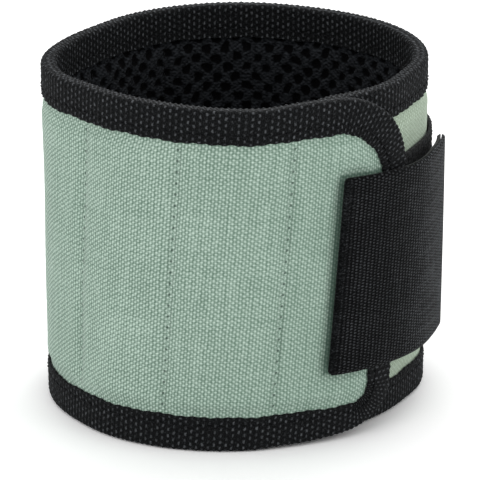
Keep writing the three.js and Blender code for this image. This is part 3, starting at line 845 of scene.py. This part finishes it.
def magnet_look():
    look = Look("nickel plate", {"Metallic": 1, "Roughness": 0.28})
    wipe = look.grains("ShaderNodeTexNoise", 90)
    look.feed("Base Color", look.colours(wipe, *NICKEL))
    look.feed("Roughness", wipe * 0.18 + 0.2)
    return look.material


def thread_look(name, shades):
    look = Look(name, {"Roughness": 0.7, "Specular IOR Level": 0.1})
    along, up = look.pattern()
    twist = (along + up).wave(TWIST_PITCH) * 0.5 + 0.5
    look.feed("Base Color", look.colours(twist, *shades))
    look.bump(twist, 0.05 * MM)
    return look.material


canvas = canvas_look()
tape = tape_look()
web = web_look()
air_mesh = mesh_look()
pile = pile_look()
hooks = hook_look()
foam = foam_look()
nickel = magnet_look()
green_thread = thread_look("canvas thread", SAGE_THREAD)
black_thread = thread_look("black thread", BLACK_THREAD)


# Camera and light, at the photograph's angle.

SENSOR_WIDTH = 36
CAMERA_ELEVATION = math.radians(18)
CAMERA_DISTANCE = 1.5
CAMERA_AIM = Vector((-0.00185, -0.007, 0.044))
PICTURE_WIDTH = 480
PIXELS_PER_MM = 3.93
AIM_PIXEL = (236, 230)


def make_camera():
    data = bpy.data.cameras.new("camera")
    data.sensor_width = SENSOR_WIDTH
    data.lens = PIXELS_PER_MM * CAMERA_DISTANCE / MM / PICTURE_WIDTH * SENSOR_WIDTH
    data.shift_x = 0.5 - AIM_PIXEL[0] / PICTURE_WIDTH
    data.shift_y = AIM_PIXEL[1] / PICTURE_WIDTH - 0.5
    camera = bpy.data.objects.new("camera", data)
    back = Vector((0, -math.cos(CAMERA_ELEVATION), math.sin(CAMERA_ELEVATION)))
    camera.location = CAMERA_AIM + back * CAMERA_DISTANCE
    camera.rotation_mode = "QUATERNION"
    camera.rotation_quaternion = back.to_track_quat("Z", "Y")
    data.clip_end = 10
    bpy.context.scene.collection.objects.link(camera)
    bpy.context.scene.camera = camera


def make_lamp(name, place, size, power):
    data = bpy.data.lights.new(name, "AREA")
    data.size = size
    data.energy = power
    lamp = bpy.data.objects.new(name, data)
    lamp.location = place
    lamp.rotation_mode = "QUATERNION"
    lamp.rotation_quaternion = (Vector(place) - CAMERA_AIM).to_track_quat("Z", "Y")
    bpy.context.scene.collection.objects.link(lamp)


WHITE = (1, 1, 1, 1)
WORLD_LIGHT = 0.77
PAPER = (0.82, 0.82, 0.82, 1)
SHOWN_PAPER = (0.36, 0.36, 0.36, 1)
FLOOR_REACH = 3


def shown_rays(tree):
    """One for the rays on which the plain background shows: seen, mirrored or through glass."""
    seen = tree.node("ShaderNodeLightPath", {}, {}, output="Is Camera Ray")
    rays = seen.socket.node.outputs
    mirrored, through = (Wire(tree, rays[name]) for name in ("Is Glossy Ray", "Is Transmission Ray"))
    return seen.or_more(mirrored).or_more(through)


def make_world():
    world = bpy.data.worlds.new("studio")
    bpy.context.scene.world = world
    tree = Tree(world)
    lit = tree.node("ShaderNodeBackground", {}, {"Color": WHITE, "Strength": WORLD_LIGHT})
    white = tree.node("ShaderNodeBackground", {}, {"Color": WHITE, "Strength": 1})
    mix = tree.node("ShaderNodeMixShader", {}, {0: shown_rays(tree), 1: lit, 2: white})
    tree.node("ShaderNodeOutputWorld", {}, {"Surface": mix})


def make_floor():
    """White paper that shows as white where it is lit and keeps the shadows."""
    bm = bmesh.new()
    bmesh.ops.create_grid(bm, x_segments=1, y_segments=1, size=FLOOR_REACH)
    mesh = bpy.data.meshes.new("floor")
    bm.to_mesh(mesh)
    bm.free()
    floor = bpy.data.objects.new("floor", mesh)
    bpy.context.scene.collection.objects.link(floor)
    material = bpy.data.materials.new("white paper")
    tree = Tree(material)
    paper = tree.node("ShaderNodeBsdfDiffuse", {}, {"Color": PAPER})
    extra = tree.node("ShaderNodeBsdfDiffuse", {}, {"Color": SHOWN_PAPER})
    shown = tree.node("ShaderNodeAddShader", {}, {0: paper, 1: extra})
    mix = tree.node("ShaderNodeMixShader", {}, {0: shown_rays(tree), 1: paper, 2: shown})
    tree.node("ShaderNodeOutputMaterial", {}, {"Surface": mix})
    mesh.materials.append(material)


# Each lamp's place and size in metres, and its power in watts.
LAMPS = {
    "key lamp": ((-0.8, -1.25, 1.0), 1.4, 5),
    "fill lamp": ((1.3, -0.5, 0.6), 1.0, 4),
    "top lamp": ((0.12, 0.85, 1.2), 1.4, 10),
}

make_camera()
make_world()
make_floor()
for name, lamp in LAMPS.items():
    make_lamp(name, *lamp)
bpy.context.scene.view_settings.view_transform = "Standard"


# The canvas and the air-mesh lining, in four sections.

CANVAS_GRAIN = (0.8, 0.75)
MESH_GRAIN = (0.6, 0.6)
SHEET_TUCK = BINDING_WIDTH - TUCK


def padding_span(section):
    """The section's span, drawn in under the tape at the band's rounded ends."""
    start, end = SECTION_SPANS[section]
    return max(start, SHEET_TUCK), min(end, BAND_LENGTH - SHEET_TUCK)


def declared_cloth(piece, section, node, flat):
    follow(piece, section)
    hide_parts(node)
    tuple(side * MM for side in flat)


def inner_mesh_face(length, height):
    inside = smooth(SHEET_TUCK, BINDING_WIDTH, depth_inside(length, height))
    return -face_offset(length, height) + HOLE_DEPTH * hole_share(length, height) * inside


for section in SECTION_SPANS:
    span = padding_span(section)
    cut = (BAND_HEIGHT - 2 * SHEET_TUCK, span[1] - span[0])
    cloth = two_faced(
        f"canvas_{section}",
        canvas,
        span,
        padding_edges,
        canvas_offset,
        lambda length, height: canvas_offset(length, height) - CANVAS_THICKNESS,
        CANVAS_GRAIN,
    )
    declared_cloth(cloth, section, f"{section}_canvas", cut)
    lining = two_faced(
        f"mesh_lining_{section}",
        air_mesh,
        span,
        padding_edges,
        inner_mesh_face,
        lambda length, height: LINING_THICKNESS - face_offset(length, height),
        MESH_GRAIN,
    )
    declared_cloth(lining, section, f"{section}_mesh_lining", cut)


# The binding tape: a woven U folded over the band's edge.

RIB_DEPTH = 0.22
FLOAT_DEPTH = 0.1
STITCH_SINK = 0.18
STITCH_DIP_WIDTH = 0.45
EDGE_WANDER = 0.22
EDGE_SCALLOP = 0.12
WANDER_LENGTHS = (5.3, 2.1)
STEPS_PER_RIB = 4


def tape_relief(along, across, depth):
    """How far the woven face lies below the tape's outer surface."""
    rib = 0.5 + 0.5 * np.cos(2 * np.pi * along / TAPE_RIB_PITCH)
    floats = np.cos(np.pi * along / TAPE_RIB_PITCH) * np.sin(2 * np.pi * across / TAPE_FLOAT_PITCH)
    stitched = np.exp(-(((depth - TAPE_STITCH_DEPTH) / STITCH_DIP_WIDTH) ** 2))
    woven = -RIB_DEPTH * (1 - rib) - FLOAT_DEPTH * (1 - np.clip(floats, 0, 1))
    return woven - STITCH_SINK * stitched


def tape_edge_wander(along):
    """The tape's sewn edges aren't quite straight."""
    slow, quick = WANDER_LENGTHS
    wander = EDGE_WANDER * np.sin(along / slow) * np.sin(along / quick + 1)
    return wander + EDGE_SCALLOP * np.cos(np.pi * along / TAPE_RIB_PITCH)


def edge_path(start, end, height):
    """A straight stretch of the band's top or bottom edge: length, height and the way in."""
    way_in = -1 if height > MID_HEIGHT else 1

    def stations(share):
        length = mixed(start, end, share)
        return length, np.full_like(share, height), 0 * share, way_in + 0 * share

    return stations


def end_path(inner_length, end):
    """In along the top edge, round the band's end and back along the bottom edge."""
    side = 1 if end > inner_length else -1
    reach = abs(end - inner_length)
    top, bottom = (float(corner_radius(end, height)) for height in (BAND_HEIGHT, 0))
    quarter = math.pi / 2
    upright = BAND_HEIGHT - top - bottom
    marks = np.cumsum([0, reach - top, top * quarter, upright, bottom * quarter, reach - bottom])

    def stations(share):
        s = share * marks[-1]
        turned = np.clip((s - marks[1]) / top, 0, quarter) + np.clip((s - marks[3]) / bottom, 0, quarter)
        across, up = np.sin(turned) * side, np.cos(turned)
        is_low = s > (marks[2] + marks[3]) / 2
        radius = np.where(is_low, bottom, top)
        centre = BAND_HEIGHT - top - np.clip(s - marks[2], 0, upright)
        run = np.where(is_low, reach - bottom - np.clip(s - marks[4], 0, None), np.minimum(s, marks[1]))
        length = inner_length + side * run + radius * across
        return length, centre + radius * up, -across, -up

    return stations, marks[-1]


def tape_piece(name, stations, ribs, first_rib):
    """first_rib is where the weave stands at the start, so that it runs on from the piece before."""
    count = ribs * STEPS_PER_RIB
    ring = len(TAPE_RING)

    def place(raw):
        column, around = sleeve_indices(raw, count, ring)
        length, height, in_length, in_height = stations(column / count)
        along = (column / STEPS_PER_RIB + first_rib) * TAPE_RIB_PITCH
        across = TAPE_ACROSS[around]
        relief = tape_relief(along, across, TAPE_RING[around, 0]) * TAPE_SHOWN[around]
        depth, offset = (TAPE_RING[around] + TAPE_NORMAL[around] * relief[:, None]).T
        depth = depth + tape_edge_wander(along) * smooth(TAPE_STITCH_DEPTH, BINDING_WIDTH, depth)
        flat = np.column_stack([length + in_length * depth, height + in_height * depth, offset])
        return flat, np.column_stack([along, across])

    return finished(name, sleeve(count, ring), tape, place)


def even_ribs(total):
    return 2 * round(total / (2 * TAPE_RIB_PITCH))


back_path = end_path(SECTION_SPANS["back"][1], 0)
flap_path = end_path(SECTION_SPANS["flap"][0], BAND_LENGTH)
straight_ribs = round(POCKET_PITCH / TAPE_RIB_PITCH)
TAPES = [
    ("tape_back", "back", "back_binding", back_path, even_ribs(back_path[1]), 0),
    ("tape_flap", "flap", "flap_binding", flap_path, even_ribs(flap_path[1]), 0),
]
for section, first_rib in (("left", 0), ("middle", straight_ribs)):
    start, end = SECTION_SPANS[section]
    for edge, height in (("top", BAND_HEIGHT), ("bottom", 0)):
        path = (edge_path(start, end, height), end - start)
        node = f"{section}_{edge}_binding"
        TAPES.append((f"tape_{section}_{edge}", section, node, path, straight_ribs, first_rib))

for name, section, node, (stations, total), ribs, first_rib in TAPES:
    piece = tape_piece(name, stations, ribs, first_rib)
    declared_cloth(piece, section, node, (TAPE_FLAT_WIDTH, total))


# The foam pads, with a window for each magnet.

# Each pad's body, its start and end, and the seams that its pockets lie between.
GAP = HINGE_HALF_GAP
PANELS = {
    "back": ("back_band", SHEET_TUCK, LEFT_SEAM - GAP, SEAM_LENGTHS[2:]),
    "left": ("left_panel", LEFT_SEAM + GAP, MIDDLE_SEAM - GAP, SEAM_LENGTHS[1:3]),
    "middle": ("middle_panel", MIDDLE_SEAM + GAP, FLAP_SEAM - GAP, SEAM_LENGTHS[:2]),
    "flap": ("flap", FLAP_SEAM + GAP, BAND_LENGTH - SHEET_TUCK, []),
}
PAD_GRAIN = 2
WINDOW_HALF = (MAGNET_WIDTH / 2 + FIT, MAGNET_HEIGHT / 2 + FIT)


def foam_faces(length, height):
    outer = face_offset(length, height) - CANVAS_THICKNESS - FIT - pressed_in(length, height)
    inner = LINING_THICKNESS - face_offset(length, height) + FIT
    return inner, outer


def foam_pad(panel):
    body, start, end, seams = PANELS[panel]
    windows = [
        ((seam + next_seam) / 2, MID_HEIGHT + MAGNET_PITCH * k)
        for seam, next_seam in zip(seams, seams[1:])
        for k in (-1, 0, 1)
    ]
    bm = bmesh.new()
    half = Matrix.Diagonal(((end - start) / 2, MID_HEIGHT, 1, 1))
    centre = Matrix.Translation(((start + end) / 2, MID_HEIGHT, 0))
    columns, rows = math.ceil((end - start) / PAD_GRAIN), math.ceil(BAND_HEIGHT / PAD_GRAIN)
    bmesh.ops.create_grid(bm, x_segments=columns, y_segments=rows, size=1, matrix=centre @ half)
    cuts = {("x", length + side * WINDOW_HALF[0]) for length, _ in windows for side in (-1, 1)}
    cuts |= {("y", height + side * WINDOW_HALF[1]) for _, height in windows for side in (-1, 1)}
    for axis, at in sorted(cuts):
        point, normal = ((at, 0, 0), (1, 0, 0)) if axis == "x" else ((0, at, 0), (0, 1, 0))
        whole = bm.verts[:] + bm.edges[:] + bm.faces[:]
        bmesh.ops.bisect_plane(bm, geom=whole, plane_co=point, plane_no=normal)

    def in_window(place):
        return any(
            abs(place.x - length) < WINDOW_HALF[0] and abs(place.y - height) < WINDOW_HALF[1]
            for length, height in windows
        )

    cut_out = [face for face in bm.faces if in_window(face.calc_center_median())]
    bmesh.ops.delete(bm, geom=cut_out, context="FACES")
    bmesh.ops.solidify(bm, geom=bm.faces[:], thickness=1)

    def place(raw):
        length = raw[:, 0]
        low, high = padding_edges(length)
        height = mixed(low, high, raw[:, 1] / BAND_HEIGHT)
        above, below = raw[:, 1] > WINDOW_HALF[1], raw[:, 1] < BAND_HEIGHT - WINDOW_HALF[1]
        windowed = above & below & bool(windows)
        height = np.where(windowed, np.clip(raw[:, 1], low, high), height)
        inner, outer = foam_faces(length, height)
        offset = np.where(raw[:, 2] > raw[:, 2].mean(), outer, inner)
        return np.column_stack([length, height, offset]), np.column_stack([length, height])

    pad = finished(f"padding_{panel}", bm, foam, place)
    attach(pad, body)
    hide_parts(f"{panel}_foam")


for panel in PANELS:
    foam_pad(panel)

for name, node in frame["nodes"].items():
    if name.startswith("magnet_"):
        node.data.materials.clear()
        node.data.materials.append(nickel)


# The loop patch, and the strap's web and hook tape.

STRAP_GRAIN = (0.5, 0.5)
PILE_DEPTH = 0.3
# Turns, in radians to a millimetre, of the pile's tufts along the band and up it, and how far they stray.
PILE_TURNS = (7.1, 6.3)
PILE_STRAY_TURNS = (3.3, 2.7)
PILE_STRAY = 2
PLY_EDGE_SHARE = 0.4
PLY_EDGE_RADIUS = 0.8


def pile_face(length, height):
    tufts = np.sin(length * PILE_TURNS[0] + np.sin(height * PILE_STRAY_TURNS[0]) * PILE_STRAY)
    rows = np.sin(height * PILE_TURNS[1] + np.sin(length * PILE_STRAY_TURNS[1]) * PILE_STRAY)
    return PATCH_FACE + PATCH_THICKNESS - PILE_DEPTH * (0.5 - 0.5 * (tufts * rows))


def ply_share(length, height):
    """Thickness of a strap ply, rounded off at its edges."""
    low, high = strap_edges(length)
    from_end = np.minimum(length - STRAP_START, STRAP_END - length)
    inside = np.minimum(np.minimum(height - low, high - height), from_end)
    flatness = np.clip(inside / PLY_EDGE_RADIUS, 0, 1)
    return mixed(PLY_EDGE_SHARE, 1, np.sqrt(1 - (1 - flatness) ** 2))


def web_face(length, height):
    return HOOK_THICKNESS + PLY_GAP + WEB_THICKNESS * ply_share(length, height)


patch = two_faced(
    "loop_pile_patch",
    pile,
    (patch_start, patch_end),
    patch_edges,
    pile_face,
    lambda length, height: np.full_like(length, PATCH_FACE),
    STRAP_GRAIN,
)
patch_cut = (PATCH_WIDTH, PATCH_LENGTH)
declared_cloth(patch, "back", "loop_patch", patch_cut)

strap_web = two_faced(
    "strap_outer_web",
    web,
    (STRAP_START, STRAP_END),
    strap_edges,
    web_face,
    lambda length, height: np.full_like(length, HOOK_THICKNESS + PLY_GAP),
    STRAP_GRAIN,
    strap_radius,
)
strap_cut = (STRAP_WIDTH, STRAP_END - STRAP_START)
declared_cloth(strap_web, "strap", "strap_web", strap_cut)
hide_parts("sewn_strap_web")

strap_hooks = two_faced(
    "strap_inner_hooks",
    hooks,
    (STRAP_START, STRAP_END),
    strap_edges,
    lambda length, height: HOOK_THICKNESS * (1 - ply_share(length, height)),
    lambda length, height: np.full_like(length, HOOK_THICKNESS),
    STRAP_GRAIN,
    strap_radius,
)
declared_cloth(strap_hooks, "strap", "strap_hook_tape", strap_cut)
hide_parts("sewn_strap_hook_tape")


# Sewing thread: each stitch is a small capsule that lies in the cloth.

STITCH_SIDES = 6
STITCH_RINGS = 5
THREAD_RADIUS = 0.2
STITCH_PITCH = 2.6
STITCH_HALF = 0.95
STITCH_SHOWS = 0.1
STRAP_SEAM_INSET = 2.2
PATCH_SEAM_INSET = 1.8
UPRIGHT = 90


def stitch_row(name, look, section, places, half_length, radius_of=band_radius):
    """places are flat points with the angle of the stitch, 0 along the band and 90 up it."""
    bm = bmesh.new()
    for length, height, offset, angle in places:
        spot = Matrix.Translation((length, height, offset))
        turned = spot @ Matrix.Rotation(math.radians(angle), 4, "Z")
        size = Matrix.Diagonal((half_length, THREAD_RADIUS, THREAD_RADIUS, 1))
        grain = {"u_segments": STITCH_SIDES, "v_segments": STITCH_RINGS}
        bmesh.ops.create_uvsphere(bm, radius=1, matrix=turned @ size, **grain)
    piece = finished(name, bm, look, lambda raw: (raw, raw[:, :2]), radius_of)
    follow(piece, section)
    return piece


SEAM_STITCH_HALF = 1.05
SEAM_MARGIN = BINDING_WIDTH + 1
seam_heights = np.arange(SEAM_STITCH_PITCH, BAND_HEIGHT, SEAM_STITCH_PITCH) - SEAM_STITCH_PITCH / 2
seam_heights = seam_heights[np.abs(seam_heights - MID_HEIGHT) < MID_HEIGHT - SEAM_MARGIN]


def seam_places(seams, offset_at):
    offsets = {seam: offset_at(np.full_like(seam_heights, seam), seam_heights) for seam in seams}
    return [
        (seam, height, offset, UPRIGHT)
        for seam in seams
        for height, offset in zip(seam_heights, offsets[seam])
    ]


def tape_places(stations, total):
    """Stitches through both legs of a tape, along the tape's path."""
    count = round(total / STITCH_PITCH)
    length, height, in_length, in_height = stations((np.arange(count) + 0.5) / count)
    angles = np.degrees(np.arctan2(-in_length, in_height))
    length = length + in_length * TAPE_STITCH_DEPTH
    height = height + in_height * TAPE_STITCH_DEPTH
    face = HALF_EDGE - STITCH_SINK + STITCH_SHOWS
    spots = list(zip(length, height, angles))
    return [(*spot, side * face, angle) for side in (1, -1) for *spot, angle in spots]


def seam_line(start, end, offset):
    """Even stitches on the line between two points of the flat cloth."""
    start, end = np.array(start, float), np.array(end, float)
    across, up = end - start
    count = round(math.hypot(across, up) / STITCH_PITCH)
    angle = math.degrees(math.atan2(up, across))
    return [(*mixed(start, end, (k + 0.5) / count), offset, angle) for k in range(count)]


for section, (start, end) in SECTION_SPANS.items():
    seams = [seam for seam in SEAM_LENGTHS if start < seam < end]
    outside = seam_places(seams, canvas_offset)
    stitch_row(f"seam_thread_{section}", green_thread, section, outside, SEAM_STITCH_HALF)
    inside = seam_places(seams, lambda length, height: -face_offset(length, height))
    stitch_row(f"lining_thread_{section}", black_thread, section, inside, SEAM_STITCH_HALF)

for name, section, _, path, *_ in TAPES:
    stitch_row(f"{name}_thread", black_thread, section, tape_places(*path), STITCH_HALF)

strap_low, strap_high = strap_edges(STRAP_START + STRAP_SEAM_INSET)
strap_seam = seam_line(
    (STRAP_START + STRAP_SEAM_INSET, strap_low + STRAP_SEAM_INSET),
    (STRAP_START + STRAP_SEAM_INSET, strap_high - STRAP_SEAM_INSET),
    HOOK_THICKNESS + PLY_GAP + WEB_THICKNESS,
)
stitch_row("strap_thread", black_thread, "strap", strap_seam, STITCH_HALF, strap_radius)

patch_low, patch_high = patch_edges((patch_start + patch_end) / 2)
corners = [
    (length, height)
    for length in (patch_start + PATCH_SEAM_INSET, patch_end - PATCH_SEAM_INSET)
    for height in (patch_low + PATCH_SEAM_INSET, patch_high - PATCH_SEAM_INSET)
]
patch_sides = [(corners[a], corners[b]) for a, b in ((0, 1), (1, 3), (3, 2), (2, 0))]
patch_top = PATCH_FACE + PATCH_THICKNESS - PILE_DEPTH / 2
patch_seam = [place for side in patch_sides for place in seam_line(*side, patch_top)]
stitch_row("patch_thread", black_thread, "back", patch_seam, STITCH_HALF)
